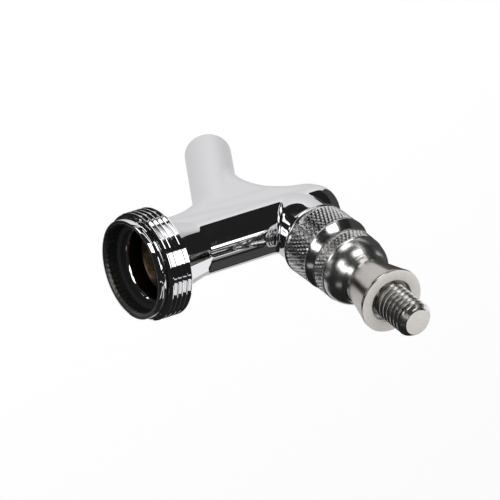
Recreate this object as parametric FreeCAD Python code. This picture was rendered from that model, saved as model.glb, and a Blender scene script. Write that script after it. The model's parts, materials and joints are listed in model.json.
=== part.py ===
"""Rear-closing draught faucet with a ball lever, in millimetres.

The origin is the centre of the rim of the inlet collar. +X runs along the
barrel from the inlet to the head, +Z points up along the bonnet, and the
faucet is symmetric about the XZ plane. Each piece of the real faucet is a
solid of its own, written to a file of its own in parts/.
"""
import FreeCAD, Part

import math
import os

from FreeCAD import Vector

# Straight steps that stand for each hollow or bulging curve of a turned outline
curve_steps = 5

# Inlet collar: the male coupling thread, its plain land and its socket
coupling_thread_radius = 1.125 * 25.4 / 2
collar_length = 9.7
land_radius = 13.08
land_length = 2.2
relief_radius = 12.6
thread_start = 2.9
collar_edge_chamfer = 0.6
socket_radius = 11.5
socket_mouth_radius = 12.3
socket_bevel_depth = 0.8
socket_depth = 5.0
key_tooth_count = 56
key_notch_radius = 12.1
key_tooth_depth = 3.2
gasket_thickness = 1.6
gasket_bore_radius = 9.8
gasket_edge_clearance = 0.1

# Barrel, and the flare that carries it into the collar
barrel_radius = 7.2
flare_length = 10.3
flare_low_slope = 12.0
flare_high_slope = 18.5
barrel_bore_radius = 5.3

# Valve chamber and seat behind the collar
chamber_radius = 9.2
chamber_length = 4.6
seat_pocket_radius = 6.8
chamber_cone_length = 2.6
seat_depth = 13.2

# Spout, leaning forward of straight down
spout_root = 28.63
spout_lean = 30.0
spout_radius = 6.2
spout_bore_radius = 4.2
spout_mouth_radius = 4.4
spout_mouth_length = 14.0
spout_reach = 46.7
belly_depth = 11.7
rear_web_radius = 17.0
front_web_radius = 11.3
front_web_depth = 7.5
web_inset = 0.2
web_overlap = 3.0
web_depth = 28.0
web_top_width = 7.05
web_taper_depth = 16.7
web_edge_radius = 5.0

# Head: the neck that carries the bonnet, and the blunt nose in front
head_center = 49.8
neck_radius = 8.65
neck_root_height = 6.5
neck_root_depth = 1.0
neck_rim_height = 10.3
neck_thread_radius = 8.5
nose_end = 63.4
nose_edge_radius = 5.0
web_nose_radius = 8.4
web_nose_edge_radius = 6.0
bore_end_wall = 4.0

# Lever ball and its two washers
pivot_height = 15.0
lever_lean = 3.6
lever_swing = 21.0
ball_radius = 12.7 / 2
ball_clearance = 0.05
washer_pocket_radius = 7.35
washer_edge_clearance = 0.05
ball_washer_bottom = 5.2
ball_washer_top = 2.0
washer_hole_radius = 4.8
finger_hole_radius = 5.7
friction_washer_bottom = 1.0
friction_washer_top = 4.4
neck_top_gap = 0.3

# Lever: finger, ball, neck and threaded stud
finger_reach = 10.8
finger_tip_radius = 2.2
finger_root_radius = 2.6
finger_tip_wrap = math.radians(135)
finger_root_depth = 4.0
lever_neck_radius = 2.6
stud_radius = 9.525 / 2
stud_root_radius = 4.1
stud_start = 12.2
stud_root_chamfer = 0.8
stud_length = 12.0
stud_tip_chamfer = 1.32
swing_clearance = 0.25

# Bonnet
bonnet_radius = 10.05
bonnet_skirt_radius = 9.05
bonnet_bottom = 10.65
bonnet_chamfer_height = 1.0
bonnet_shoulder_height = 20.55
bonnet_thread_clearance = 0.05
bonnet_ball_gap = 0.35
bonnet_top = 9.5

# Lever collar: grip ring, bell, cone and flange, seen from the pivot upwards
grip_radius = 9.47
grip_bottom = 9.4
grip_top = 14.0
grip_chamfer = 0.3
bell_rim_radius = 9.16
bell_rim_height = 14.55
bell_top_radius = 6.9
bell_top_height = 20.4
bell_bulge_radius = 8.85
bell_bulge_height = 19.0
cone_foot_radius = 6.25
cone_foot_height = 21.1
flange_radius = 8.74
flange_thickness = 0.95
collar_height = 31.97
dome_clearance = 0.43
stud_hole_clearance = 0.06
countersink_radius = 5.9
countersink_depth = 1.0

# Valve shaft, seat washer and nut
shaft_clearance = 0.05
shaft_tail_radius = 2.0
shaft_tail_length = 6.8
shaft_rod_radius = 2.4
shaft_flange_radius = 3.6
shaft_flange_length = 1.2
rear_guide_start = 15.2
rear_guide_length = 6.0
flute_radius = 2.5
flute_center_radius = 5.2
flute_count = 4
front_guide_start = 43.0
shaft_end_gap = 1.0
slot_clearance = 0.2
slot_floor_gap = 0.4
seat_washer_radius = 6.3
seat_washer_thickness = 3.0
washer_hole_clearance = 0.05
nut_flats = 8.0
nut_thickness = 3.0

UP = Vector(0, 0, 1)
FORWARD = Vector(1, 0, 0)
PIVOT = Vector(head_center, 0, pivot_height)


def seg(a, b):
    """Straight edge between two points."""
    return Part.makeLine(Vector(*a), Vector(*b))


def arc(a, m, b):
    """Arc edge through three points."""
    return Part.Arc(Vector(*a), Vector(*m), Vector(*b)).toShape()


def closed_face(edges):
    """Flat face inside a ring of edges."""
    return Part.Face(Part.Wire(Part.__sortEdges__(edges)))


def turned_x(points):
    """Solid turned about the X axis from (x, radius) corners."""
    corners = [Vector(x, 0, r) for x, r in points]
    face = Part.Face(Part.makePolygon(corners + corners[:1]))
    return face.revolve(Vector(0, 0, 0), FORWARD, 360)


def ring_point(radius, height):
    """Point of a profile in the XZ plane, to be turned about the Z axis."""
    return (radius, 0, height)


def turned_z(edges, center_x=0.0, base_z=0.0):
    """Solid turned about the Z axis from edges, then moved to its place."""
    solid = closed_face(edges).revolve(Vector(0, 0, 0), UP, 360)
    solid.translate(Vector(center_x, 0, base_z))
    return solid


def polygon_edges(points):
    """Closed ring of straight edges through the points."""
    return [seg(a, b) for a, b in zip(points, points[1:] + points[:1])]


def one_solid(shape):
    """The single solid of a cleaned-up shape."""
    shape = shape.removeSplitter()
    if len(shape.Solids) != 1:
        raise ValueError("expected one solid, got %d" % len(shape.Solids))
    return shape.Solids[0]


def leaned(shape):
    """Turn a piece of the lever from upright to its closed position."""
    shape.rotate(PIVOT, Vector(0, 1, 0), -lever_lean)
    return shape


def sphere_height(radius, distance):
    """Height on a sphere above its centre, at a distance from its axis."""
    return math.sqrt(radius ** 2 - distance ** 2)


# Spout direction and the edge of the head's bore, used by several pieces
lean = math.radians(spout_lean)
SPOUT_AXIS = Vector(math.sin(lean), 0, -math.cos(lean))
bore_end = nose_end - bore_end_wall


def inlet_collar():
    """Land, relief groove and threaded part of the coupling collar."""
    back = coupling_thread_radius - collar_edge_chamfer
    return turned_x([
        (0, 0),
        (0, land_radius),
        (land_length, land_radius),
        (land_length, relief_radius),
        (thread_start - collar_edge_chamfer, relief_radius),
        (thread_start, coupling_thread_radius),
        (collar_length - collar_edge_chamfer, coupling_thread_radius),
        (collar_length, back),
        (collar_length, 0),
    ])


def flare():
    """Slightly hollow flare from the back of the collar down to the barrel."""
    low = math.radians(flare_low_slope)
    high = math.radians(flare_high_slope)
    curve = flare_length / (math.sin(high) - math.sin(low))
    points = [(collar_length, 0)]
    for i in range(curve_steps + 1):
        slope = high + (low - high) * i / curve_steps
        points.append((collar_length + curve * (math.sin(high) - math.sin(slope)),
                       barrel_radius + curve * (math.cos(low) - math.cos(slope))))
    points.append((collar_length + flare_length, 0))
    return turned_x(points)


def barrel():
    """Barrel from the collar, under the neck and on to its blunt nose."""
    start = [(collar_length, 0), (collar_length, barrel_radius)]
    return turned_x(start + blunt_end(barrel_radius, nose_edge_radius) + [(nose_end, 0)])


def blunt_end(radius, edge_radius):
    """Outline from the head's centre to the nose, with its rounded edge."""
    points = [(head_center, radius)]
    for i in range(curve_steps + 1):
        turn = math.pi / 2 * i / curve_steps
        points.append((nose_end - edge_radius + edge_radius * math.sin(turn),
                       radius - edge_radius + edge_radius * math.cos(turn)))
    return points


def web_outline():
    """Side view of the casting below the barrel, from the collar to the nose.

    The belly runs forward from the collar, a wide arc turns it into the rear
    of the spout, and a tighter arc joins the front of the spout to the
    underside of the nose.
    """
    half = (spout_radius - web_inset) / math.cos(lean)
    slope = math.tan(lean)

    # Rear arc, between the belly's underside and the rear line of the spout
    rear_corner = spout_root - half + belly_depth * slope
    reach = rear_web_radius * math.tan((math.pi / 2 - lean) / 2)
    before = (rear_corner - reach, 0, -belly_depth)
    after = (rear_corner + reach * math.sin(lean), 0,
             -belly_depth - reach * math.cos(lean))
    rear_center = (before[0], 0, -belly_depth - rear_web_radius)

    # Front arc, between the front line of the spout and the nose's underside
    front_corner = spout_root + half + front_web_depth * slope
    front_reach = front_web_radius * math.tan((math.pi / 2 + lean) / 2)
    front_start = (front_corner + front_reach * math.sin(lean), 0,
                   -front_web_depth - front_reach * math.cos(lean))
    front_end = (front_corner + front_reach, 0, -front_web_depth)
    front_center = (front_end[0], 0, -front_web_depth - front_web_radius)

    def between(center, first, last, radius):
        """Point of an arc half way between its ends."""
        mid = Vector((first[0] + last[0]) / 2, 0, (first[2] + last[2]) / 2)
        out = (mid - Vector(*center)).normalize() * radius
        return tuple(Vector(*center) + out)

    rear_foot = (spout_root - half + web_depth * slope, 0, -web_depth)
    front_foot = (spout_root + half + web_depth * slope, 0, -web_depth)
    back_x = collar_length - web_overlap
    front_x = nose_end + web_overlap
    corners = [front_end, (front_x, 0, -front_web_depth), (front_x, 0, 0), (back_x, 0, 0),
               (back_x, 0, -belly_depth), before]
    edges = [seg(p, q) for p, q in zip(corners, corners[1:])]
    edges += [
        arc(before, between(rear_center, before, after, rear_web_radius), after),
        seg(after, rear_foot),
        seg(rear_foot, front_foot),
        seg(front_foot, front_start),
        arc(front_start,
            between(front_center, front_start, front_end, front_web_radius),
            front_end),
    ]
    return edges


def web():
    """Casting below the barrel, with tapering sides and rounded edges."""
    wide = 2 * barrel_radius
    plate = closed_face(web_outline()).extrude(Vector(0, 2 * wide, 0))
    plate.translate(Vector(0, -wide, 0))
    low = web_depth + 1
    taper = (web_top_width - spout_radius) / web_taper_depth
    foot = web_top_width - taper * low
    section = [Vector(0, -web_top_width, 0), Vector(0, web_top_width, 0),
               Vector(0, foot, -low), Vector(0, -foot, -low)]
    trough = Part.Face(Part.makePolygon(section + section[:1])).extrude(FORWARD * spout_reach * 2)
    plate = plate.common(trough).Solids[0]

    def rounded(edge):
        """True for the edges along the sides, below the barrel's axis."""
        middle = edge.CenterOfMass
        ends = [v.Point for v in edge.Vertexes]
        on_side = all(abs(p.y) > 1 and p.y * middle.y > 0 for p in ends)
        span = (ends[0] - ends[-1]).Length
        sloping = all(abs(p.x - ends[0].x) < 1e-6 for p in ends)
        return on_side and span > 1 and not sloping and middle.z < -1 \
            and middle.z > -web_depth + 1e-3

    plate = plate.makeFillet(web_edge_radius, [e for e in plate.Edges if rounded(e)])

    # What reaches out of the rounded nose in front is trimmed away
    beyond = nose_end + 2 * web_overlap
    trim = blunt_end(web_nose_radius, web_nose_edge_radius)
    trim += [(nose_end, 0), (beyond, 0), (beyond, 2 * wide), (head_center, 2 * wide)]
    return plate.cut(turned_x(trim))


def spout():
    """Round spout, from the barrel's axis to its end."""
    return Part.makeCylinder(spout_radius, spout_reach, Vector(spout_root, 0, 0), SPOUT_AXIS)


def neck():
    """Neck that swells out of the barrel, with the thread for the bonnet."""
    top = pivot_height + friction_washer_bottom - neck_top_gap
    outline = [ring_point(0, -neck_root_depth)]
    rise = neck_root_height + neck_root_depth
    for i in range(curve_steps + 1):
        height = -neck_root_depth + rise * i / curve_steps
        swell = (neck_radius - barrel_radius) * (1 - i / curve_steps) ** 2
        outline.append(ring_point(neck_radius - swell, height))
    outline += [
        ring_point(neck_radius, neck_rim_height),
        ring_point(neck_thread_radius, neck_rim_height),
        ring_point(neck_thread_radius, top),
        ring_point(0, top),
    ]
    return turned_z(polygon_edges(outline), head_center)


def body_outside():
    """The whole casting before its bores are cut."""
    solid = inlet_collar()
    for piece in (flare(), barrel(), web(), spout(), neck()):
        solid = solid.fuse(piece)
    return solid


def key_notches():
    """Star-shaped space whose points are the keying notches of the socket."""
    points = []
    for i in range(2 * key_tooth_count):
        angle = math.pi * i / key_tooth_count
        radius = key_notch_radius if i % 2 else socket_radius
        points.append(Vector(0, radius * math.cos(angle), radius * math.sin(angle)))
    star = Part.Face(Part.makePolygon(points + points[:1]))
    return star.extrude(FORWARD * key_tooth_depth)


def body_inside():
    """Inlet socket, valve chamber, barrel bore, ball pocket and spout bore."""
    cone_start = socket_depth + chamber_length
    water_way = turned_x([
        (-1, 0),
        (-1, socket_mouth_radius),
        (0, socket_mouth_radius),
        (socket_bevel_depth, socket_radius),
        (socket_depth, socket_radius),
        (socket_depth, chamber_radius),
        (cone_start, chamber_radius),
        (cone_start + chamber_cone_length, seat_pocket_radius),
        (seat_depth, seat_pocket_radius),
        (seat_depth, barrel_bore_radius),
        (bore_end, barrel_bore_radius),
        (bore_end, 0),
    ])
    ledge = pivot_height - ball_washer_bottom
    hole = Part.makeCylinder(finger_hole_radius, ledge, Vector(head_center, 0, 0), UP)
    pocket = Part.makeCylinder(washer_pocket_radius, pivot_height,
                               Vector(head_center, 0, ledge), UP)
    root = Vector(spout_root, 0, 0)
    spout_bore = Part.makeCylinder(spout_bore_radius, spout_reach, root, SPOUT_AXIS)
    mouth = Part.makeCylinder(spout_mouth_radius, spout_mouth_length + 1,
                              root + SPOUT_AXIS * (spout_reach - spout_mouth_length), SPOUT_AXIS)
    space = water_way
    for piece in (key_notches(), hole, pocket, spout_bore, mouth):
        space = space.fuse(piece)
    return space


def make_body():
    """Faucet body: one casting with its bores."""
    return one_solid(body_outside().cut(body_inside()))


def make_gasket():
    """Flat ring that seals the faucet against the shank."""
    outer = socket_radius - gasket_edge_clearance
    start = socket_depth - gasket_thickness
    return one_solid(turned_x([
        (start, gasket_bore_radius),
        (start, outer),
        (socket_depth, outer),
        (socket_depth, gasket_bore_radius),
    ]))


def seat_cone(contact, low, high):
    """Conical space about the pivot that touches the ball at the contact height."""
    radius = ball_radius + ball_clearance
    slope = math.asin(contact / radius)

    def radius_at(height):
        return (radius - height * math.sin(slope)) / math.cos(slope)

    return Part.makeCone(radius_at(low), radius_at(high), high - low, PIVOT + UP * low, UP)


def make_ball_washer():
    """Seat under the ball, with a conical mouth that the ball lies in."""
    outer = washer_pocket_radius - washer_edge_clearance
    height = ball_washer_bottom - ball_washer_top
    base = PIVOT - UP * ball_washer_bottom
    middle = (ball_washer_bottom + ball_washer_top) / 2
    ring = Part.makeCylinder(outer, height, base, UP)
    ring = ring.cut(seat_cone(-middle, -ball_washer_bottom - 1, -ball_washer_top + 1))
    return one_solid(ring.cut(Part.makeCylinder(washer_hole_radius, 2 * height, base, UP)))


def swing_radius(height):
    """Half width that the leaning lever neck needs at a height over the pivot."""
    swing = math.radians(lever_swing - lever_lean)
    return height * math.tan(swing) + lever_neck_radius / math.cos(swing) + swing_clearance


def swing_cone(bottom, top):
    """Space that the lever neck sweeps, as a cone about the bonnet's axis."""
    return Part.makeCone(swing_radius(bottom), swing_radius(top), top - bottom,
                         PIVOT + UP * bottom, UP)


def make_friction_washer():
    """Plastic ring with a conical seat, which the bonnet presses on the ball."""
    outer = neck_thread_radius + bonnet_thread_clearance - washer_edge_clearance
    height = friction_washer_top - friction_washer_bottom
    middle = (friction_washer_top + friction_washer_bottom) / 2
    ring = Part.makeCylinder(outer, height, PIVOT + UP * friction_washer_bottom, UP)
    space = seat_cone(middle, friction_washer_bottom - 0.5, friction_washer_top + 0.5)
    return one_solid(ring.cut(space))


def make_bonnet():
    """Grip ring with a domed top, threaded over the neck."""
    shoulder = bonnet_shoulder_height - pivot_height
    dome = math.hypot(bonnet_radius, shoulder)
    top_radius = sphere_height(dome, bonnet_top)
    middle = math.sqrt(0.5) * (bonnet_radius + top_radius) / math.sqrt(2)
    bottom = bonnet_bottom - pivot_height
    grip_start = bottom + bonnet_chamfer_height
    solid = turned_z([
        seg(ring_point(0, bottom), ring_point(bonnet_skirt_radius, bottom)),
        seg(ring_point(bonnet_skirt_radius, bottom), ring_point(bonnet_radius, grip_start)),
        seg(ring_point(bonnet_radius, grip_start), ring_point(bonnet_radius, shoulder)),
        arc(ring_point(bonnet_radius, shoulder),
            ring_point(middle, sphere_height(dome, middle)),
            ring_point(top_radius, bonnet_top)),
        seg(ring_point(top_radius, bonnet_top), ring_point(0, bonnet_top)),
        seg(ring_point(0, bonnet_top), ring_point(0, bottom)),
    ], head_center, pivot_height)
    thread = Part.makeCylinder(neck_thread_radius + bonnet_thread_clearance,
                               friction_washer_top - bottom,
                               PIVOT + UP * bottom, UP)
    solid = solid.cut(thread).cut(swing_cone(friction_washer_top - 1, bonnet_top + 1))
    return one_solid(solid.cut(Part.makeSphere(ball_radius + bonnet_ball_gap, PIVOT)))


def finger():
    """Tapered finger below the ball, ending in a small round tip."""
    outline = []
    for i in range(curve_steps + 1):
        angle = finger_tip_wrap * i / curve_steps
        outline.append(ring_point(finger_tip_radius * math.sin(angle),
                                  -finger_reach - finger_tip_radius * math.cos(angle)))
    outline += [
        ring_point(finger_root_radius, -finger_root_depth),
        ring_point(0, -finger_root_depth),
    ]
    return turned_z(polygon_edges(outline))


def make_lever():
    """Finger, ball, neck and threaded stud, turned in one piece."""
    top = collar_height + stud_length
    neck_solid = Part.makeCylinder(lever_neck_radius, stud_start, Vector(0, 0, 0), UP)
    stud = turned_z(polygon_edges([
        ring_point(0, stud_start),
        ring_point(stud_root_radius - stud_root_chamfer, stud_start),
        ring_point(stud_root_radius, stud_start + stud_root_chamfer),
        ring_point(stud_root_radius, collar_height),
        ring_point(stud_radius, collar_height),
        ring_point(stud_radius, top - stud_tip_chamfer),
        ring_point(stud_radius - stud_tip_chamfer, top),
        ring_point(0, top),
    ]))
    solid = Part.makeSphere(ball_radius).fuse(neck_solid).fuse(stud).fuse(finger())
    solid.translate(PIVOT)
    return one_solid(leaned(solid))


def collar_profile():
    """Outline of the lever collar as edges from its cavity round to its top."""
    shoulder = bonnet_shoulder_height - pivot_height
    cavity = math.hypot(bonnet_radius, shoulder) + dome_clearance
    hole = stud_root_radius + stud_hole_clearance
    lip = math.sqrt(cavity ** 2 - grip_bottom ** 2)
    inner = (lip + hole) / 2
    top_edge = collar_height - flange_thickness
    bell = []
    for i in range(curve_steps + 1):
        t = i / curve_steps
        radius = ((1 - t) ** 2 * bell_rim_radius + 2 * t * (1 - t) * bell_bulge_radius
                  + t ** 2 * bell_top_radius)
        height = ((1 - t) ** 2 * bell_rim_height + 2 * t * (1 - t) * bell_bulge_height
                  + t ** 2 * bell_top_height)
        bell.append(ring_point(radius, height))
    return [
        arc(ring_point(hole, sphere_height(cavity, hole)),
            ring_point(inner, sphere_height(cavity, inner)),
            ring_point(lip, grip_bottom)),
        seg(ring_point(lip, grip_bottom), ring_point(grip_radius - grip_chamfer, grip_bottom)),
        seg(ring_point(grip_radius - grip_chamfer, grip_bottom),
            ring_point(grip_radius, grip_bottom + grip_chamfer)),
        seg(ring_point(grip_radius, grip_bottom + grip_chamfer), ring_point(grip_radius, grip_top)),
        seg(ring_point(grip_radius, grip_top), ring_point(bell_rim_radius, bell_rim_height)),
        *[seg(low, high) for low, high in zip(bell, bell[1:])],
        seg(ring_point(bell_top_radius, bell_top_height),
            ring_point(cone_foot_radius, cone_foot_height)),
        seg(ring_point(cone_foot_radius, cone_foot_height), ring_point(flange_radius, top_edge)),
        seg(ring_point(flange_radius, top_edge), ring_point(flange_radius, collar_height)),
        seg(ring_point(flange_radius, collar_height),
            ring_point(countersink_radius, collar_height)),
        seg(ring_point(countersink_radius, collar_height),
            ring_point(hole, collar_height - countersink_depth)),
        seg(ring_point(hole, collar_height - countersink_depth),
            ring_point(hole, sphere_height(cavity, hole))),
    ]


def make_lever_collar():
    """Bell-shaped collar that screws down on the stud over the bonnet."""
    return one_solid(leaned(turned_z(collar_profile(), head_center, pivot_height)))


def fluted_guide():
    """Rear guide of the shaft, with flutes that let the beer pass."""
    radius = barrel_bore_radius - shaft_clearance
    start = Vector(rear_guide_start, 0, 0)
    guide = Part.makeCylinder(radius, rear_guide_length, start, FORWARD)
    for i in range(flute_count):
        angle = 2 * math.pi * (i + 0.5) / flute_count
        side = Vector(0, math.cos(angle), math.sin(angle)) * flute_center_radius
        guide = guide.cut(Part.makeCylinder(flute_radius, rear_guide_length, start + side, FORWARD))
    return guide


def slot_center():
    """Place of the finger's tip along the barrel when the valve is closed."""
    angle = math.radians(lever_lean)
    return (head_center + finger_reach * math.sin(angle),
            pivot_height - finger_reach * math.cos(angle))


def make_shaft():
    """Valve shaft: threaded tail, fluted guide, rod and slotted front guide."""
    radius = barrel_bore_radius - shaft_clearance
    end = bore_end - shaft_end_gap
    solid = turned_x([
        (seat_depth - shaft_tail_length, 0),
        (seat_depth - shaft_tail_length, shaft_tail_radius),
        (seat_depth, shaft_tail_radius),
        (seat_depth, shaft_flange_radius),
        (seat_depth + shaft_flange_length, shaft_flange_radius),
        (seat_depth + shaft_flange_length, shaft_rod_radius),
        (front_guide_start, shaft_rod_radius),
        (front_guide_start + 1, radius),
        (end, radius),
        (end, 0),
    ])
    solid = solid.fuse(fluted_guide())
    slot_x, tip_z = slot_center()
    half = finger_tip_radius + slot_clearance
    floor = tip_z - finger_tip_radius - slot_floor_gap
    slot = Part.makeBox(2 * half, 4 * radius, 2 * radius,
                        Vector(slot_x - half, -2 * radius, floor))
    return one_solid(solid.cut(slot))


def make_seat_washer():
    """Rubber washer that closes on the seat from the inlet side."""
    hole = shaft_tail_radius + washer_hole_clearance
    start = seat_depth - seat_washer_thickness
    return one_solid(turned_x([
        (start, hole),
        (start, seat_washer_radius),
        (seat_depth, seat_washer_radius),
        (seat_depth, hole),
    ]))


def make_shaft_nut():
    """Hexagonal nut that clamps the washer on the shaft."""
    front = seat_depth - seat_washer_thickness
    corner = nut_flats / math.sqrt(3)
    points = []
    for i in range(6):
        angle = math.radians(60 * i + 30)
        points.append(Vector(front - nut_thickness, corner * math.cos(angle),
                             corner * math.sin(angle)))
    hexagon = Part.Face(Part.makePolygon(points + points[:1]))
    nut = hexagon.extrude(FORWARD * nut_thickness)
    hole = shaft_tail_radius + washer_hole_clearance
    bore = Part.makeCylinder(hole, nut_thickness, Vector(front - nut_thickness, 0, 0), FORWARD)
    return one_solid(nut.cut(bore))


PIECES = {
    "faucet_body": make_body,
    "coupling_gasket": make_gasket,
    "ball_washer": make_ball_washer,
    "friction_washer": make_friction_washer,
    "bonnet": make_bonnet,
    "tap_lever": make_lever,
    "lever_collar": make_lever_collar,
    "valve_shaft": make_shaft,
    "seat_washer": make_seat_washer,
    "shaft_nut": make_shaft_nut,
}


def main():
    """Build every piece and write it to its own file."""
    os.makedirs("parts", exist_ok=True)
    for name, make in PIECES.items():
        shape = make()
        if not shape.isValid():
            raise ValueError(name + " is not a valid solid")
        shape.exportStep("parts/%s.step" % name)
        box = shape.BoundBox
        print("%-16s volume %8.1f mm3  x %.2f..%.2f  y %.2f..%.2f  z %.2f..%.2f" % (
            name, shape.Volume, box.XMin, box.XMax, box.YMin, box.YMax, box.ZMin, box.ZMax))


main()
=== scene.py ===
# %% [markdown]
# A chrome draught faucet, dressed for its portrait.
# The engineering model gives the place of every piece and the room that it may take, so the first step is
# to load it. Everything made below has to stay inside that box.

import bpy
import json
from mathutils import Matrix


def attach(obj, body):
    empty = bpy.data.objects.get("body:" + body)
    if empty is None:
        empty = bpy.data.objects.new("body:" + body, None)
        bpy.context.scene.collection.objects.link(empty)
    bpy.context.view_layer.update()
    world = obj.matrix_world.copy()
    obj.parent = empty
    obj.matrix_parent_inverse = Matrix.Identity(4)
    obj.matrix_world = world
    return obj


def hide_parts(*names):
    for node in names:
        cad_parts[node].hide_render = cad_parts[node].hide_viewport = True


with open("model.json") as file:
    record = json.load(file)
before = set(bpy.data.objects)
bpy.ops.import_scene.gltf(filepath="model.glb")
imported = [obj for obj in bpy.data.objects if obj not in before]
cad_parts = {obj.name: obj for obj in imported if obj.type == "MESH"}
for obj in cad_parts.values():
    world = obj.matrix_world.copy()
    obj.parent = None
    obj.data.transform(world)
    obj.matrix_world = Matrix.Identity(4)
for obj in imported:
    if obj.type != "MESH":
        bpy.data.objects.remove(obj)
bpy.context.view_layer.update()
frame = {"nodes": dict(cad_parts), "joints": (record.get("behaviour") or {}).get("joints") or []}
print("nodes:", sorted(frame["nodes"]))

# %% [markdown]
# The modelling below is done in millimetres, the unit that a maker of fittings thinks in, and each finished
# mesh is scaled to metres once. The frame says where the lever is hinged, which is the centre of its ball.
# The neck, the bonnet and the lever are placed about that point, and the lever leans a little at rest.

# %% Names used everywhere
import json
import math

import bmesh
import bpy
from mathutils import Matrix, Vector

MM = 0.001
pivot = Vector(frame["joints"][0]["pos_m"]) / MM
lever_lean = math.radians(3.6)
lever_place = Matrix.Translation(pivot) @ Matrix.Rotation(-lever_lean, 4, "Y")
bonnet_place = Matrix.Translation(pivot)
neck_place = Matrix.Translation((pivot.x, 0, 0))
along_barrel = Matrix.Rotation(math.pi / 2, 4, "Y")
print("ball centre in mm:", [round(c, 2) for c in pivot])

# %% [markdown]
# In Blender a mesh holds points and faces, and an object shows a mesh in the scene. Each shape below starts
# as a bmesh, which is easy to edit, and these helpers turn it into a mesh and an object when it is ready.

# %% Meshes and objects
def mesh_of(name, bm):
    """Turns a bmesh into a mesh of its own."""
    mesh = bpy.data.meshes.new(name)
    bm.to_mesh(mesh)
    bm.free()
    return mesh


def linked(name, data):
    """Adds an object that shows the data to the scene."""
    thing = bpy.data.objects.new(name, data)
    bpy.context.scene.collection.objects.link(thing)
    return thing


def added(bm, before):
    """The points that a bmesh has gained since the set of its points was taken."""
    return [v for v in bm.verts if v not in before]


def finished(name, bm, body, *nodes, sharp):
    """Turns the bmesh into a piece in metres that rides on a body and stands for CAD nodes."""
    bm.transform(Matrix.Scale(MM, 4))
    mesh = mesh_of(name, bm)
    piece = linked(name, mesh)
    mesh.shade_smooth()
    mesh.set_sharp_from_angle(angle=math.radians(sharp))
    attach(piece, body)
    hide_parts(*nodes)
    print(name, "faces:", len(mesh.polygons))
    return piece


# %% [markdown]
# Nearly every piece of a faucet is turned on a lathe. Blender's spin operator is the same idea: a half
# outline is swept about an axis. The outline is written as (height, radius) pairs, small arcs come from a
# helper, and sharp corners of the outline can get a tiny bevel first, because real metal edges are never
# perfectly sharp and it is this small round that catches the light.

# %% A lathe
weld = 1e-5
corner = 0.35


def arc(center, radius, first, last, count=12):
    """Points of an arc; angles in degrees, 0 outwards from the axis and 90 upwards."""
    points = []
    for i in range(count + 1):
        angle = math.radians(first + (last - first) * i / count)
        points.append((center[0] + radius * math.sin(angle), center[1] + radius * math.cos(angle)))
    return points


def lathe(bm, outline, place=Matrix.Identity(4), steps=192, closed=True, edge=0):
    """Adds an outline, swept about its axis, and puts it in its place."""
    before = set(bm.verts)
    ring = [bm.verts.new((radius, 0, height)) for height, radius in outline]
    ends = ring[1:] + ring[:1] if closed else ring[1:]
    for pair in zip(ring, ends):
        bm.edges.new(pair)
    sharp = [v for v in ring if len(v.link_edges) == 2 and v.calc_edge_angle(0) > corner]
    if edge and sharp:
        bmesh.ops.bevel(bm, geom=sharp, offset=edge, segments=2, profile=0.5, material=-1,
                        affect="VERTICES")
    wires = [e for e in bm.edges if e.is_wire]
    bmesh.ops.spin(bm, geom=added(bm, before) + wires, cent=(0, 0, 0), axis=(0, 0, 1),
                   dvec=(0, 0, 0), angle=2 * math.pi, steps=steps, use_merge=True)
    bmesh.ops.remove_doubles(bm, verts=added(bm, before), dist=weld)
    bmesh.ops.transform(bm, matrix=place, verts=added(bm, before))
    bmesh.ops.recalc_face_normals(bm, faces=[f for f in bm.faces if f.verts[0] not in before])


# %% [markdown]
# Threads are a spin too: with a step along the axis in each turn of the crank, the same operator makes a
# screw. A screw modifier could do it as well, but the spin lets the ridge be cut off cleanly at both ends.
# The ridge has the real 60 degree flanks, because two such flanks throw the light back between them.

# %% A thread
half_flank = math.radians(30)


def cut_across(bm, before, point, normal, clear=False):
    """Cuts all that was added with a plane and, if asked to, clears what lies beyond it."""
    made = added(bm, before)
    edges = {e for v in made for e in v.link_edges}
    faces = {f for v in made for f in v.link_faces}
    bmesh.ops.bisect_plane(bm, geom=[*made, *edges, *faces], dist=1e-6, plane_co=point,
                           plane_no=normal, clear_outer=clear)


def thread(bm, crest, root, pitch, low, high, place=Matrix.Identity(4), steps=96):
    """Adds a helical ridge between two heights of a screw."""
    before = set(bm.verts)
    sink = 0.12
    half_crest = pitch / 16
    half_root = half_crest + (crest - root + sink) * math.tan(half_flank)
    start = low - 2 * pitch
    turns = (high - low) / pitch + 4
    outline = [(start - half_root, root - sink), (start - half_crest, crest),
               (start + half_crest, crest), (start + half_root, root - sink)]
    ring = [bm.verts.new((radius, 0, height)) for height, radius in outline]
    face = bm.faces.new(ring)
    count = round(turns * steps)
    bmesh.ops.spin(bm, geom=[face, *face.edges, *ring], cent=(0, 0, 0), axis=(0, 0, 1),
                   dvec=(0, 0, pitch / steps), angle=2 * math.pi * count / steps, steps=count,
                   use_merge=False)
    for height, side in ((low, -1), (high, 1)):
        cut_across(bm, before, (0, 0, height), (0, 0, side), clear=True)
    made = added(bm, before)
    edges = {e for v in made for e in v.link_edges}
    bmesh.ops.holes_fill(bm, edges=[e for e in edges if e.is_boundary], sides=0)
    bmesh.ops.recalc_face_normals(bm, faces=list({f for v in made for f in v.link_faces}))
    bmesh.ops.transform(bm, matrix=place, verts=made)


# %% [markdown]
# A knurl is rolled into the metal: two sets of slanting grooves leave rows of small pyramids. Here a band
# of faces is cut into diamonds by poking each face in its middle and dissolving the old edges, and a second
# poke pulls a point out of every diamond. Two calls make hundreds of pyramids with very few faces, where
# crossing grooves, cut one by one, would need far more.

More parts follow.
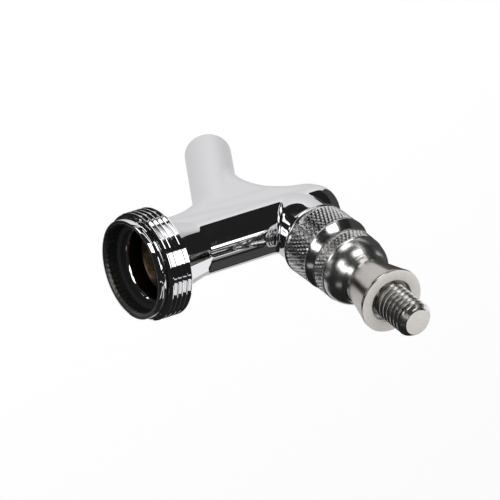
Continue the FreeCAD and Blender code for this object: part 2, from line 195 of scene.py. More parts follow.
# %% A diamond knurl
def knurl(bm, radius, depth, low, high, count, rows, place):
    """Adds a sleeve of pyramids between two heights, with its rims turned in."""
    before = set(bm.verts)
    root = radius - depth
    rim_depth = 0.3
    ring = [bm.verts.new((root, 0, low + (high - low) * i / rows)) for i in range(rows + 1)]
    edges = [bm.edges.new(pair) for pair in zip(ring, ring[1:])]
    bmesh.ops.spin(bm, geom=ring + edges, cent=(0, 0, 0), axis=(0, 0, 1), dvec=(0, 0, 0),
                   angle=2 * math.pi, steps=count, use_merge=True)
    bmesh.ops.remove_doubles(bm, verts=added(bm, before), dist=weld)
    cells = [f for f in bm.faces if f.verts[0] not in before]
    bmesh.ops.recalc_face_normals(bm, faces=cells)
    old = list({e for f in cells for e in f.edges if len(e.link_faces) == 2})
    bmesh.ops.poke(bm, faces=cells, offset=0.0, center_mode="MEAN", use_relative_offset=False)
    bmesh.ops.dissolve_edges(bm, edges=old, use_verts=False, use_face_split=False)
    diamonds = [f for f in bm.faces if f.verts[0] not in before and len(f.verts) == 4]
    outward = sum(f.normal.dot(Vector((*f.calc_center_median().xy, 0))) for f in diamonds)
    bmesh.ops.poke(bm, faces=diamonds, offset=math.copysign(depth, outward), center_mode="MEAN",
                   use_relative_offset=False)
    for v in added(bm, before):
        reach = v.co.xy.length
        if reach > radius:
            v.co.xy *= radius / reach
    rims = [e for e in bm.edges if e.is_boundary and e.verts[0] not in before]
    for part in bmesh.ops.extrude_edge_only(bm, edges=rims)["geom"]:
        if isinstance(part, bmesh.types.BMVert):
            part.co.xy *= (root - rim_depth) / part.co.xy.length
    bmesh.ops.transform(bm, matrix=place, verts=added(bm, before))
    bmesh.ops.recalc_face_normals(bm, faces=[f for f in bm.faces if f.verts[0] not in before])


# %% [markdown]
# The body is one casting. Its barrel, flare, neck, nose and spout are simple shapes, but in the real part
# they flow into each other. So they are modelled roughly overlapping, and a voxel remesh melts them into
# one skin, which is then smoothed the way a polishing wheel rounds a casting.

# %% Sizes of the casting
collar_length = 9.7
barrel_radius = 7.2
flare_end = 20.0
nose_end = 63.4
nose_round = 5.0
spout_root = 28.63
spout_lean = math.radians(30)
spout_radius = 6.2
spout_reach = 46.7
spout_axis = Vector((math.sin(spout_lean), 0, -math.cos(spout_lean)))
spout_turn = Vector((0, 0, 1)).rotation_difference(spout_axis).to_matrix().to_4x4()
spout_place = Matrix.Translation((spout_root, 0, 0)) @ spout_turn
melt = 0.3
print("spout leans forward by degrees:", round(math.degrees(spout_lean), 1))


def modified(piece, kind, **settings):
    """Applies one modifier to a piece by replacing its mesh."""
    modifier = piece.modifiers.new(kind.title(), kind)
    for key, value in settings.items():
        setattr(modifier, key, value)
    graph = bpy.context.evaluated_depsgraph_get()
    mesh = bpy.data.meshes.new_from_object(piece.evaluated_get(graph))
    piece.modifiers.clear()
    piece.data = mesh


# %% [markdown]
# Barrel and neck are turned shapes. One outline runs from the flare behind the collar along the barrel and
# round the blunt nose, and the neck swells out of it with a soft root. The flare is a hollow arc between a
# steep slope at the collar and a gentle one at the barrel.

# %% Barrel and neck
def add_barrel(bm):
    """Barrel, from the hollow flare behind the inlet collar to its blunt nose."""
    inside_collar = 9.0
    gentle = math.radians(12)
    steep = math.radians(18.5)
    hollow = (flare_end - collar_length) / (math.sin(steep) - math.sin(gentle))
    flare = [(flare_end - hollow * (math.sin(a) - math.sin(gentle)),
              barrel_radius + hollow * (math.cos(gentle) - math.cos(a)))
             for a in [steep + (gentle - steep) * i / 12 for i in range(13)]]
    outline = [(inside_collar, 0), (inside_collar, flare[0][1]), *flare,
               *arc((nose_end - nose_round, barrel_radius - nose_round), nose_round, 0, 90, 10),
               (nose_end, 0)]
    lathe(bm, outline, along_barrel, closed=False)


def add_neck(bm):
    """Neck that swells out of the barrel, and the round that carries the bonnet's hidden thread."""
    foot = -1.0
    radius = 8.72
    swell_height = 7.5
    swell_depth = 1.5
    shoulder = 10.3
    screwed_radius = 8.5
    top = 15.7
    swell = [(foot + swell_height * i / 10, radius - swell_depth * (1 - i / 10) ** 2)
             for i in range(11)]
    outline = [(foot, 0), *swell, (shoulder, radius), (shoulder, screwed_radius),
               (top, screwed_radius), (top, 0)]
    lathe(bm, outline, neck_place, closed=False)


# %% [markdown]
# The belly below the barrel is a plate in the side view, with a wide arc behind the spout and a tighter one
# in front of it. It is extruded to its full width, its sides are drawn in with depth, and a wide bevel
# rounds it. Slices near the nose let its end shrink to the same round as the barrel's. Sculpting could
# reach the same form, but numbers keep the outline where the photograph has it.

# %% Belly
belly_start = 9.2
belly_depth = 11.7
belly_half_width = 7.05
belly_taper = 1.05
taper_depth = 16.7
belly_bevel = 4.6
bevel_low = -6.0
bevel_high = -0.5
rear_arc = 17.0
front_arc = 11.3
front_depth = 7.5
web_end = nose_end - 0.1
web_reach = 28.0
web_inset = 0.2
shrink_length = 6.0
shrink_blunt = 2.4
shrink_slices = (shrink_length, 4.8, 3.7, 2.7, 1.8, 1.0, 0.4)


def bend(x, z, radius, first, last):
    """Points of an arc in the side view; angles in degrees, 0 forwards and 90 upwards."""
    turns = [math.radians(first + (last - first) * i / 12) for i in range(13)]
    return [(x + radius * math.cos(a), z + radius * math.sin(a)) for a in turns]


def add_web(bm):
    """Belly below the barrel that carries the spout."""
    before = set(bm.verts)
    half = (spout_radius - web_inset) / math.cos(spout_lean)
    slope = math.tan(spout_lean)
    rear = spout_root - half
    front = spout_root + half
    rear_x = rear + belly_depth * slope - rear_arc * math.tan(math.radians(60 / 2))
    front_x = front + front_depth * slope + front_arc * math.tan(math.radians(120 / 2))
    points = [(belly_start, 0), (belly_start, -belly_depth),
              *bend(rear_x, -belly_depth - rear_arc, rear_arc, 90, 30),
              (rear + web_reach * slope, -web_reach), (front + web_reach * slope, -web_reach),
              *bend(front_x, -front_depth - front_arc, front_arc, 210, 90),
              (web_end, -front_depth), (web_end, 0)]
    ring = [bm.verts.new((x, -belly_half_width, z)) for x, z in points]
    face = bm.faces.new(ring)
    moved = bmesh.ops.extrude_face_region(bm, geom=[face])["geom"]
    far = [v for v in moved if isinstance(v, bmesh.types.BMVert)]
    bmesh.ops.translate(bm, verts=far, vec=(0, 2 * belly_half_width, 0))
    for v in ring + far:
        v.co.y = math.copysign(belly_half_width + belly_taper * v.co.z / taper_depth, v.co.y)
    sides = {f for v in ring + far for f in v.link_faces if len(f.verts) > 4}
    rims = [e for f in sides for e in f.edges
            if min(v.co.z for v in e.verts) < bevel_low and max(v.co.z for v in e.verts) < bevel_high]
    bmesh.ops.bevel(bm, geom=rims, offset=belly_bevel, segments=6, profile=0.5, affect="EDGES",
                    material=-1, clamp_overlap=False)
    for back in shrink_slices:
        cut_across(bm, before, (nose_end - back, 0, 0), (1, 0, 0))
    for v in added(bm, before):
        if v.co.x > nose_end - shrink_length:
            drop = min(shrink_length - 0.1, v.co.x - nose_end + shrink_length)
            round_off = math.sqrt(shrink_length ** 2 - drop ** 2)
            v.co.yz *= (shrink_blunt + round_off) / (shrink_blunt + shrink_length)
    bmesh.ops.recalc_face_normals(bm, faces=bm.faces)


# %% [markdown]
# The spout is a plain round tube that leans forwards, with a soft lip. The drilled passages are solids to
# cut with. They are cut after the melting, so that their edges stay crisp: the valve chamber and the
# barrel's bore, the pocket of the ball and the bore of the spout.

# %% Spout and passages
chamber_radius = 9.2
bore_radius = 5.3
bore_end = 59.4
throat_radius = 5.7
pocket_radius = 7.35
pocket_floor = 9.8
spout_bore_radius = 4.3


def add_spout(bm):
    """Round spout with a soft lip, from the barrel to its tip."""
    lip = 0.5
    outline = [(0, 0), (0, spout_radius), *arc((spout_reach - lip, spout_radius - lip), lip, 0, 90, 4),
               (spout_reach, 0)]
    lathe(bm, outline, spout_place, closed=False)


def drilled(name, outline, place):
    """One passage as a solid to cut with."""
    bm = bmesh.new()
    lathe(bm, outline, place, closed=False, steps=96)
    return linked(name, mesh_of(name, bm))


def all_passages():
    """All the passages of the body as one solid."""
    passages = drilled("passages", [
        (0, 0), (0, chamber_radius), (9.6, chamber_radius), (12.2, 6.8), (13.2, 6.8),
        (13.2, bore_radius), (bore_end, bore_radius), (bore_end, 0)], along_barrel)
    pocket = drilled("pocket", [
        (0.1, 0), (0.1, throat_radius), (pocket_floor, throat_radius), (pocket_floor, pocket_radius),
        (20, pocket_radius), (20, 0)], neck_place)
    spout_bore = drilled("spout_bore", [
        (0.1, 0), (0.1, spout_bore_radius), (spout_reach + 1, spout_bore_radius),
        (spout_reach + 1, 0)], spout_place)
    for other in (pocket, spout_bore):
        modified(passages, "BOOLEAN", operation="UNION", object=other, solver="EXACT")
        bpy.data.objects.remove(other)
    return passages


# %% [markdown]
# Now the casting is poured: the four rough shapes go into one bmesh, the remesh melts them, the smoothing
# polishes the skin, and the passages are drilled. A boolean union would leave hard seams between them.

# %% Melt, smooth and drill the casting
bm = bmesh.new()
for add in (add_barrel, add_neck, add_web, add_spout):
    add(bm)
casting = linked("casting", mesh_of("casting", bm))
modified(casting, "REMESH", mode="VOXEL", voxel_size=melt, adaptivity=0.0)
modified(casting, "SMOOTH", factor=0.5, iterations=14)
passages = all_passages()
modified(casting, "BOOLEAN", operation="DIFFERENCE", object=passages, solver="EXACT")
bpy.data.objects.remove(passages)
bm = bmesh.new()
bm.from_mesh(casting.data)
bpy.data.objects.remove(casting)
cast_body = finished("cast_body", bm, "body", "faucet_body", sharp=40)

# %% [markdown]
# The inlet collar is the part that couples to the beer line: a plain land, a groove, five crests of thread
# and, inside, a socket ringed with small keying teeth that stop the faucet from turning. Cutting each notch
# would be slow, so the wall is spun with four columns to a tooth, and two of every four are pulled outwards.

# %% Inlet collar
inlet_crest = 14.28
inlet_root = 13.42
inlet_pitch = 1.4111
socket_radius = 11.5
socket_depth = 5.0
ledge_end = 5.5
notch_radius = 11.66
tooth_count = 56
tooth_end = 3.2


def inlet_collar():
    """Collar with its socket, teeth and thread."""
    bm = bmesh.new()
    columns = 4 * tooth_count
    outline = [(0, 12.3), (0, 13.08), (2.4, 13.08), (2.4, 12.8), (2.8, 12.8), (2.95, inlet_root),
               (9.2, inlet_root), (collar_length, 12.9), (collar_length, chamber_radius),
               (ledge_end, chamber_radius), (socket_depth, 9.6), (socket_depth, socket_radius),
               (tooth_end + 0.02, socket_radius), (tooth_end, socket_radius), (0.8, socket_radius)]
    lathe(bm, outline, steps=columns, edge=0.09)
    for v in bm.verts:
        reach = v.co.xy.length
        column = round(math.atan2(v.co.y, v.co.x) / (2 * math.pi) * columns)
        on_wall = abs(reach - socket_radius) < 0.2 and v.co.z < tooth_end + 0.005
        if on_wall and column % 4 in (0, 1):
            v.co.xy *= notch_radius / reach
    bmesh.ops.transform(bm, matrix=along_barrel, verts=bm.verts)
    thread(bm, inlet_crest, inlet_root, inlet_pitch, low=2.75, high=9.25, place=along_barrel)
    return finished("inlet_collar", bm, "body", "faucet_body", sharp=28)


collar = inlet_collar()

# %% [markdown]
# The bonnet is the knurled ring that is screwed over the neck, with two fine beads round its foot. Its top
# is a ball surface, because the lever's collar slides over it when the tap is opened. It is turned like the
# rest, and the knurl goes round it as a sleeve of its own.

# %% Bonnet
dome_radius = 11.48


def bonnet():
    """Knurled bonnet with its domed top."""
    bm = bmesh.new()
    foot = -4.35
    inner_radius = 8.56
    grip_radius = 9.62
    dome_low = math.degrees(math.asin(5.55 / dome_radius))
    dome_high = math.degrees(math.asin(9.5 / dome_radius))
    outline = [(foot, inner_radius), (foot, 8.9), *arc((-4.0, 8.95), 0.35, -60, 60, 6),
               *arc((-3.45, 9.6), 0.38, -50, 80, 8), (-3.05, grip_radius), (5.2, grip_radius),
               (5.3, 9.98), *arc((0, 0), dome_radius, dome_low, dome_high, 14), (8.8, 5.9),
               (4.4, 4.75), (4.4, inner_radius)]
    lathe(bm, outline, bonnet_place, edge=0.06)
    knurl(bm, radius=10.04, depth=0.36, low=-3.1, high=5.25, count=56, rows=4, place=bonnet_place)
    return finished("knurled_bonnet", bm, "body", "bonnet", sharp=24)


bonnet_piece = bonnet()

# %% [markdown]
# The lever collar is one turned piece: a knurled grip, a bell, a waist and a cone that ends in a flange.
# Its skirt is hollow and follows the ball surface of the bonnet, so the inner side of the outline is an arc
# about the same centre. Heights are measured from the ball.

# %% Lever collar
cone_start = 20.6
flange_height = 31.97
flange_hole = 5.9


def lever_collar():
    """Bell and cone with a knurled grip."""
    bm = bmesh.new()
    cavity = 11.9
    skirt_low = math.degrees(math.asin(9.4 / cavity))
    skirt_high = math.degrees(math.acos(4.2 / cavity))
    outline = [(9.4, 9.2), (9.62, 9.4), (9.72, 9.4), (9.78, 9.1), (13.8, 9.1), (13.85, 9.38),
               (14.1, 9.38), (14.35, 9.2), *arc((14.4, 2.06), 7.1, 0, 46, 12), (20.62, 6.55),
               (20.95, 6.32), (21.3, 6.28), (30.9, 8.62), (30.98, 8.68), (31.02, 8.74),
               (flange_height, 8.74), (flange_height, flange_hole), (30.97, 4.85), (30.9, 4.2),
               *arc((0, 0), cavity, skirt_high, skirt_low, 10)]
    lathe(bm, outline, lever_place, edge=0.06)
    knurl(bm, radius=9.46, depth=0.34, low=9.74, high=13.84, count=52, rows=2, place=lever_place)
    return finished("lever_collar_bell", bm, "lever", "lever_collar", sharp=24)


bell = lever_collar()

# %% [markdown]
# The lever itself runs through the collar: a finger that works the valve, the ball, a neck and the threaded
# stud that a tap handle is screwed on. One outline turns it, the thread is added, and the stud's tip is
# pressed into a cone, which gives the chamfer that helps a handle to find the thread.

# %% Lever with its stud
stud_crest = 4.755
stud_root = 3.95
stud_pitch = 1.5875
stud_tip = 43.97
tip_radius = 3.44


def lever():
    """Finger, ball, neck and threaded stud."""
    bm = bmesh.new()
    ball = 6.35
    outline = [*arc((-10.8, 0), 2.2, -90, 45, 10), (-5.0, 2.5), *arc((0, 0), ball, -66, 65.8, 28),
               (12.2, 2.6), (12.2, 3.3), (13.0, 4.1), (31.2, 4.1), (31.6, stud_root),
               (stud_tip - 0.55, stud_root), (stud_tip, tip_radius), (stud_tip, 0)]
    lathe(bm, outline, closed=False, edge=0.05)
    thread(bm, stud_crest, stud_root, stud_pitch, low=31.3, high=stud_tip - 0.02, steps=72)
    for v in bm.verts:
        limit = tip_radius + max(0.0, stud_tip - v.co.z)
        reach = v.co.xy.length
        if v.co.z > stud_tip - 1.4 and reach > limit:
            v.co.xy *= limit / reach
    bmesh.ops.transform(bm, matrix=lever_place, verts=bm.verts)
    return finished("lever_and_stud", bm, "lever", "tap_lever", sharp=28)


stud = lever()

# %% [markdown]
# Shader maths reads best as plain arithmetic. This small class wraps a node socket, so that
# "noise * 0.2 + 0.1" adds the Math nodes by itself. A second class holds a material: one method adds any
# other node, and short ones place a pattern and mix two colours.

# %% Arithmetic on sockets
class Socket:
    """A shader value that understands + and *."""

    def __init__(self, tree, output):
        self.tree = tree
        self.output = output

    def maths(self, operation, first, second):
        node = self.tree.nodes.new("ShaderNodeMath")
        node.operation = operation
        for slot, value in enumerate((first, second)):
            if isinstance(value, Socket):
                self.tree.links.new(value.output, node.inputs[slot])
            else:
                node.inputs[slot].default_value = value
        return Socket(self.tree, node.outputs[0])

    def __add__(self, other):
        return self.maths("ADD", self, other)

    def __radd__(self, other):
        return self.maths("ADD", other, self)

    def __mul__(self, other):
        return self.maths("MULTIPLY", self, other)

    def __rmul__(self, other):
        return self.maths("MULTIPLY", other, self)


class Finish:
    """A material with one shader and methods that add nodes."""

    def __init__(self, name, color, **shader):
        self.material = bpy.data.materials.new(name)
        self.material.use_nodes = True
        self.tree = self.material.node_tree
        self.shader = self.tree.nodes["Principled BSDF"]
        self.set("Base Color", (*color, 1))
        for key, value in shader.items():
            self.set(key, value)

    def set(self, name, value):
        """Sets a constant on the shader's own socket."""
        self.shader.inputs[name.replace("_", " ")].default_value = value

    def feed(self, name, value):
        """Links a value to the shader's socket."""
        self.tree.links.new(value.output, self.shader.inputs[name])

    def node(self, kind, settings=None, output=0, **inputs):
        """Adds a node with its settings, then the values or links of its sockets."""
        node = self.tree.nodes.new(kind)
        for key, value in (settings or {}).items():
            setattr(node, key, value)
        for key, value in inputs.items():
            socket = node.inputs[key.replace("_", " ")]
            if isinstance(value, Socket):
                self.tree.links.new(value.output, socket)
            else:
                socket.default_value = value
        return Socket(self.tree, node.outputs[output])

    def place(self, scale=(1, 1, 1)):
        """Object coordinates, stretched by a scale."""
        coordinates = self.node("ShaderNodeTexCoord", output="Object")
        return self.node("ShaderNodeMapping", {"vector_type": "POINT"}, Vector=coordinates, Scale=scale)

    def blend(self, factor, first, second):
        """Mixes two colours. A Mix node keeps its colour sockets at places 6 and 7."""
        result = self.node("ShaderNodeMix", {"data_type": "RGBA"}, output=2, Factor=factor)
        for place, color in ((6, first), (7, second)):
            result.output.node.inputs[place].default_value = (*color, 1)
        return result


# %% [markdown]
# Chrome plate is a mirror with a little life in it: the polish is never quite even, so the roughness drifts
# slightly and a very faint wave bends the reflections of the body, as it does in the photograph. The domed
# and belled pieces are brushed softer, and their knurls wear the same plating.

# %% Polished chrome
def chrome(name, color, rough, wave=0.0):
    """Plating with an uneven polish."""
    drift = 0.03
    finish = Finish(name, color, Metallic=1.0, Roughness=rough)
    cloud = finish.node("ShaderNodeTexNoise", Vector=finish.place(), Scale=160.0, Detail=3.0,
                        Roughness=0.55)
    finish.feed("Roughness", cloud * drift + (rough - drift / 2))
    slow = finish.node("ShaderNodeTexNoise", Vector=finish.place(), Scale=110.0, Detail=1.0)
    finish.feed("Normal", finish.node("ShaderNodeBump", Strength=wave, Distance=0.001, Height=slow))
    return finish.material


body_chrome = chrome("polished_chrome", (0.80, 0.80, 0.815), 0.045, wave=0.02)
dome_chrome = chrome("dome_chrome", (0.80, 0.79, 0.79), 0.17)
bell_chrome = chrome("bell_chrome", (0.80, 0.79, 0.77), 0.25)
print("chrome finishes:", [finish.name for finish in (body_chrome, dome_chrome, bell_chrome)])

# %% [markdown]
# The cone of the collar and the stud were left as the lathe tool made them: satin, slightly warm, with fine
# streaks. A noise squeezed along the axis makes the streaks, which is cheaper than cutting rings. The same
# finish, much darker, stands for the bare metal of the bores and the socket: painted shade in these
# recesses.
# The faced ends scatter light evenly, so they are painted pale and without the metal's mirror.

# %% Turned metal
def turned(name, color, rough, streak, metallic=1.0):
    """Metal as the tool left it, with fine streaks."""
    contrast = 0.2
    finish = Finish(name, color, Metallic=metallic, Roughness=rough)
    lines = finish.node("ShaderNodeTexNoise", Vector=finish.place((1, 1, 0.03)), Scale=2600.0,
                        Detail=4.0)
    finish.feed("Base Color", finish.blend(lines, [c * (1 - contrast) for c in color],
                                           [min(1.0, c * (1 + contrast)) for c in color]))
    finish.feed("Roughness", lines * streak + (rough - streak / 2))
    return finish.material


cone_steel = turned("turned_cone", (0.63, 0.60, 0.57), 0.24, 0.16)
stud_steel = turned("stud_steel", (0.84, 0.82, 0.79), 0.25, 0.1)
# Bores and socket: bare metal with very dark base colours, painted shade in these recesses.
bare_brass_painted_shade = turned("bare_brass_painted_shade", (0.10, 0.065, 0.05), 0.36, 0.1)
bare_socket_painted_shade = turned("bare_socket_painted_shade", (0.17, 0.17, 0.17), 0.42, 0.1)
faced_steel = turned("faced_steel", (0.80, 0.765, 0.72), 0.5, 0.1, metallic=0.0)
shaft_brass = turned("shaft_brass", (0.70, 0.52, 0.26), 0.25, 0.1)

# %% [markdown]
# The hidden washers and the gasket are simple: black rubber and white plastic, each with a soft grain from
# one noise that feeds both the roughness and a faint bump.

# %% Rubber and plastic
def dull(name, color, rough, grain):
    """A soft material with a fine grain."""
    unevenness = 0.2
    finish = Finish(name, color, Metallic=0.0, Roughness=rough)
    noise = finish.node("ShaderNodeTexNoise", Vector=finish.place(), Scale=grain, Detail=4.0)
    finish.feed("Roughness", noise * unevenness + (rough - unevenness / 2))
    finish.feed("Normal", finish.node("ShaderNodeBump", Strength=0.15, Distance=0.0002, Height=noise))
    return finish.material


rubber = dull("black_rubber", (0.02, 0.02, 0.021), 0.6, 900.0)
plastic = dull("white_plastic", (0.75, 0.74, 0.70), 0.5, 700.0)


def dress(mesh, *materials):
    """Gives a mesh its finishes, in the order in which its faces number them."""
    mesh.materials.clear()
    for material in materials:
        mesh.materials.append(material)


for piece, slot, *finishes in ((cast_body, "body_chrome", body_chrome, bare_brass_painted_shade),
                               (collar, "body_chrome", body_chrome, bare_brass_painted_shade, bare_socket_painted_shade),
                               (bonnet_piece, "bonnet_chrome", dome_chrome),
                               (bell, "collar_chrome", bell_chrome, cone_steel, faced_steel),
                               (stud, "lever_steel", stud_steel, faced_steel)):
    dress(piece.data, *finishes)
for node, material in (("coupling_gasket", rubber), ("ball_washer", rubber), ("seat_washer", rubber),
                       ("friction_washer", plastic), ("valve_shaft", shaft_brass),
                       ("shaft_nut", shaft_brass)):
    dress(frame["nodes"][node].data, material)
print("materials:", len(bpy.data.materials))

# %% [markdown]
# Four pieces carry more than one finish. Their faces are sorted by where they are, which needs no painting
# by hand: the drilled passages and the socket are bare metal painted very dark as painted shade, the lever
# collar's upper half is the turned cone, and the flange's face and the stud's tip are faced.

# %% Sort the faces
def from_spout(p):
    """Distance of a point from the spout's axis."""
    offset = p - Vector((spout_root, 0, 0))
    return (offset - spout_axis * offset.dot(spout_axis)).length


def is_drilled(p, inward):
    """True for the walls of the valve chamber, of the barrel's bore and of the spout's bore."""
    beside = 0.2
    below_bore = -6.0
    in_bore = math.hypot(p.y, p.z) < chamber_radius + beside and ledge_end < p.x < bore_end + 0.1
    in_spout = from_spout(p) < spout_bore_radius + beside and p.z < below_bore
    return (inward and in_bore) or in_spout


# The walls found here get the bore and socket finishes, whose dark colour is painted shade.
for piece in (cast_body, collar):
    for face in piece.data.polygons:
        p = face.center / MM
        inward = face.normal.dot(Vector((0, p.y, p.z))) < 0
        face.material_index = 1 if is_drilled(p, inward) else 0
        if piece is collar and inward and p.x < socket_depth - 0.1:
            face.material_index = 2
upright_lever = lever_place.inverted()
for face in bell.data.polygons:
    p = upright_lever @ (face.center / MM)
    if p.xy.length > flange_hole and p.z > cone_start:
        face.material_index = 2 if p.z > flange_height - 0.01 else 1
for face in stud.data.polygons:
    p = upright_lever @ (face.center / MM)
    face.material_index = 1 if p.z > stud_tip - 0.02 else 0
for piece in (cast_body, collar, bell, stud):
    plated = sum(face.material_index == 0 for face in piece.data.polygons)
    print(piece.name, "faces in the first finish:", plated, "of", len(piece.data.polygons))

# %% [markdown]
# The photographer's camera was far away with a long lens. Its place was solved from the circles of the
# collar, the bonnet and the stud, so the same pixels see the same edges.

# %% Camera
camera_place = Vector((-621.1, 627.1, 885.7)) * MM
view_line = Vector((0.5177, -0.4971, -0.6963)).normalized()
picture_up = Vector((0.2577, 0.8667, -0.4271))
picture_right = view_line.cross(picture_up).normalized()
picture_up = picture_right.cross(view_line)
lens = bpy.data.cameras.new("camera")
lens.lens = 354.63
lens.sensor_width = 36.0
camera = linked("camera", lens)
camera.matrix_world = Matrix.Translation(camera_place) @ Matrix(
    (picture_right, picture_up, -view_line)).transposed().to_4x4()
bpy.context.scene.camera = camera
print("camera distance in m:", round(camera_place.length, 2))


# %% [markdown]
# Chrome shows what stands round it. A photographer hangs a black tent round a mirror-like object, open
# towards the pale sweep behind it, and leaves a few soft lamps in the tent, which become the white shapes in
# the reflections. Tent, lamps and cards here are only seen by reflections, so the light itself stays plain.

# %% Black tent
tent_radius = 0.46
tent_center = Vector((0.035, 0, 0))


def studio_direction(right, up, back):
    """World direction from parts to the right of, up from and back towards the camera."""
    return (picture_right * right + picture_up * up - view_line * back).normalized()


def reflected_only(name, mesh, strength):
    """A card or lamp that is seen in reflections and nowhere else."""
    card = linked(name, mesh)
    finish = Finish(name, (0, 0, 0), Roughness=1.0, Specular_IOR_Level=0.0,
                    Emission_Color=(1, 1, 1, 1), Emission_Strength=strength)
    mesh.materials.append(finish.material)
    card.visible_camera = False
    card.visible_diffuse = False
    card.visible_shadow = False
    card.visible_transmission = False


def black_tent():
    """Dark tent with one wide opening behind and above the faucet."""
    front = studio_direction(0, 0.338, 0.941)
    low = -0.52
    left = -0.80
    bm = bmesh.new()
    bmesh.ops.create_icosphere(bm, subdivisions=5, radius=tent_radius)
    for normal, offset in ((front, 0.0), (picture_up, low), (picture_right, left)):
        bmesh.ops.bisect_plane(bm, geom=[*bm.verts, *bm.edges, *bm.faces], dist=1e-6,
                               plane_co=normal * offset * tent_radius, plane_no=normal)
    opening = [f for f in bm.faces
               if (c := f.calc_center_median() / tent_radius).dot(front) < 0
               and c.dot(picture_up) > low and c.dot(picture_right) > left]
    bmesh.ops.delete(bm, geom=opening, context="FACES")
    bmesh.ops.translate(bm, vec=tent_center, verts=bm.verts)
    reflected_only("black_tent", mesh_of("black_tent", bm), strength=0.016)


black_tent()

# %% [markdown]
# A softbox is a glowing rectangle. A bent surface such as the bell shows it small and curved, wherever the
# reflected line of sight meets it, so each one hangs in the direction that puts its image in its place.

# %% Softboxes
lamp_reach = 0.40


def softbox(name, start, toward, width, height, strength, upright=(0, 0, 1), reach=lamp_reach):
    """A flat lamp or card, seen from one spot of the faucet."""
    bm = bmesh.new()
    bmesh.ops.create_grid(bm, x_segments=1, y_segments=1, size=0.5)
    bmesh.ops.scale(bm, vec=(width, height, 1), verts=bm.verts)
    upright = Vector(upright)
    upright = (upright - toward * upright.dot(toward)).normalized()
    turn = Matrix((upright.cross(toward), upright, toward)).transposed().to_4x4()
    place = Matrix.Translation(Vector(start) * MM + toward * reach)
    bmesh.ops.transform(bm, matrix=place @ turn, verts=bm.verts)
    reflected_only(name, mesh_of(name, bm), strength)


# %% [markdown]
# On a long turned surface a lamp shows as a streak, and a flat box rarely stays in the mirror's path along
# all of it. So the path is followed backwards: from the camera to points round the surface, and on from
# there to where the ribbon has to hang. In a thread the light comes by way of two facing flanks, and the
# path is mirrored at both.

# %% Ribbon lamps
flank_lean = math.radians(60)


def ribbon(name, place, height, radius, first, last, width, strength, in_groove=False):
    """A lamp that shows on a turned surface, between two angles round it."""
    bm = bmesh.new()
    steps = 6
    lean = flank_lean if in_groove else 0.0
    axis = (place.to_3x3() @ Vector((0, 0, 1))).normalized()
    rows = []
    for i in range(steps + 1):
        angle = math.radians(first + (last - first) * i / steps)
        out = Vector((math.cos(angle), math.sin(angle), 0))
        spot = place @ (out * radius + Vector((0, 0, height))) * MM
        radial = (place.to_3x3() @ out).normalized()
        toward = (spot - camera_place).normalized()
        for tip in (-1, 1) if in_groove else (0,):
            normal = radial * math.cos(lean) + axis * math.sin(lean) * tip
            toward = toward - normal * 2 * toward.dot(normal)
        side = (axis - toward * axis.dot(toward)).normalized() * width / 2
        rows.append([bm.verts.new(spot + toward * lamp_reach + side * k) for k in (-1, 1)])
    for one, two in zip(rows, rows[1:]):
        bm.faces.new((*one, two[1], two[0]))
    reflected_only(name, mesh_of(name, bm), strength)


# %% [markdown]
# The lamps are hung last. The first ones draw the streaks along the barrel and one dull card below them,
# the next ones the bands on the thread's crests and in its grooves, and the last ribbons light the stud.
# The softboxes make the patches on dome, bell and neck, and a dark card stands close behind the bell, where
# the pale sweep would otherwise bleach its edge.

# %% Lamps
mid_barrel = 31
ridge = 14.2
groove = 13.8
stud_middle = 38
ribbon("streak_lamp", along_barrel, mid_barrel, barrel_radius, 149.5, 153.9, 0.034, 2.5)
ribbon("thin_streak_lamp", along_barrel, mid_barrel, barrel_radius, 157.4, 158.3, 0.034, 1.0)
ribbon("soft_streak_lamp", along_barrel, mid_barrel, barrel_radius, 174.0, 178.5, 0.034, 0.28)
ribbon("dim_low_card", along_barrel, mid_barrel, barrel_radius, 184, 210, 0.07, 0.06)
ribbon("thread_top_lamp", along_barrel, 8, ridge, 102, 124, 0.013, 1.6)
ribbon("thread_band_lamp", along_barrel, 5, ridge, 140, 155, 0.022, 2.5)
ribbon("thread_low_lamp", along_barrel, 5, ridge, 174, 190, 0.022, 1.0)
ribbon("groove_top_lamp", along_barrel, 8, groove, 106, 123, 0.020, 1.7, in_groove=True)
ribbon("groove_low_lamp", along_barrel, 6, groove, 174, 189, 0.022, 1.1, in_groove=True)
ribbon("stud_lamp", lever_place, stud_middle, 4.7, 92, 128, 0.017, 0.95)
ribbon("stud_groove_lamp", lever_place, stud_middle, 4.4, 96, 130, 0.03, 1.3, in_groove=True)
on_bell = (50, 3, 32)
on_neck = (43, 5, 7)
softbox("lamp_above", on_bell, studio_direction(0.305, 0.702, 0.645), 0.20, 0.16, 2.5)
softbox("lamp_left", on_bell, studio_direction(-0.365, -0.086, 0.921), 0.12, 0.16, 2.5)
softbox("lamp_upper_left", on_bell, studio_direction(-0.55, 0.187, 0.756), 0.14, 0.14, 2.5)
softbox("lamp_low_left", on_bell, studio_direction(-0.527, -0.768, 0.364), 0.07, 0.10, 0.5)
softbox("lamp_overhead", (46, 4, 30), studio_direction(-0.30, 0.92, 0.12), 0.20, 0.13, 2.0)
softbox("lamp_far_left", on_neck, studio_direction(-0.84, 0.54, -0.045), 0.12, 0.035, 2.2,
        upright=(-0.24, 0.77, 0.59))
softbox("lamp_side_left", on_neck, studio_direction(-0.94, 0.30, 0.16), 0.05, 0.06, 1.6)
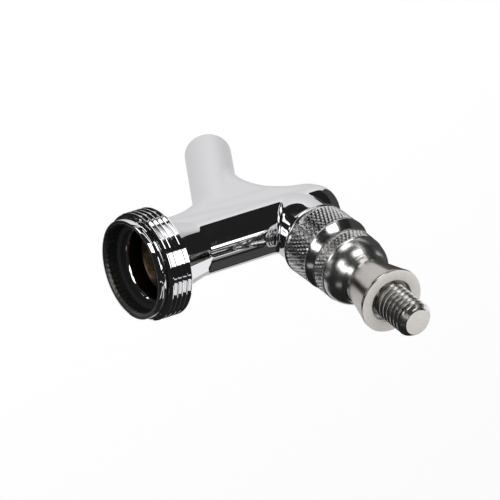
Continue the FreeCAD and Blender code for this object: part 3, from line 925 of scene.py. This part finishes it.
softbox("dark_card", (52, 8, 31), studio_direction(0.50, 0.40, -0.76), 0.060, 0.060, 0.06,
        reach=0.045)

# %% [markdown]
# The pale floor lies well below the faucet, which is held up by its inlet. It glows a little for the
# camera alone, so that it fades into the white world without a horizon.

# %% Floor
floor_height = -0.47
bm = bmesh.new()
bmesh.ops.create_grid(bm, x_segments=1, y_segments=1, size=6.0)
bmesh.ops.translate(bm, verts=bm.verts, vec=(0, 0, floor_height))
floor = linked("floor", mesh_of("floor", bm))
floor_finish = Finish("floor", (0.80, 0.80, 0.81), Roughness=1.0, Specular_IOR_Level=0.0,
                      Emission_Strength=0.36)
seen = floor_finish.node("ShaderNodeLightPath", output="Is Camera Ray")
floor_finish.feed("Emission Color", floor_finish.blend(seen, (0, 0, 0), (1, 1, 1)))
floor.data.materials.append(floor_finish.material)

# %% [markdown]
# The world is white for the camera and for reflections, and a little dimmer as a light, so that colours
# render about as written. Two large lamps that no reflection shows give the soft light and shade.

# %% World and light
dimmed = 0.65
world = bpy.data.worlds.new("world")
bpy.context.scene.world = world
world.use_nodes = True
tree = world.node_tree
background = tree.nodes["Background"]
background.inputs["Color"].default_value = (1, 1, 1, 1)
rays = tree.nodes.new("ShaderNodeLightPath")
seen = (Socket(tree, rays.outputs["Is Camera Ray"]) + Socket(tree, rays.outputs["Is Glossy Ray"])
        + Socket(tree, rays.outputs["Is Transmission Ray"]))
level = seen * (1 - dimmed) + dimmed
tree.links.new(level.output, background.inputs["Strength"])

lamp_distance = 1.1
for name, toward, size, power in (("key", (0.3, 0.9, 0.6), 0.8, 9.0),
                                  ("fill", (-0.9, 0.3, 0.5), 0.9, 4.0)):
    lamp = bpy.data.lights.new(name, "AREA")
    lamp.shape = "SQUARE"
    lamp.size = size
    lamp.energy = power
    light = linked(name, lamp)
    direction = studio_direction(*toward)
    turn = direction.to_track_quat("Z", "Y").to_matrix().to_4x4()
    light.matrix_world = Matrix.Translation(direction * lamp_distance) @ turn
    light.visible_glossy = False

bpy.context.scene.view_settings.view_transform = "Standard"
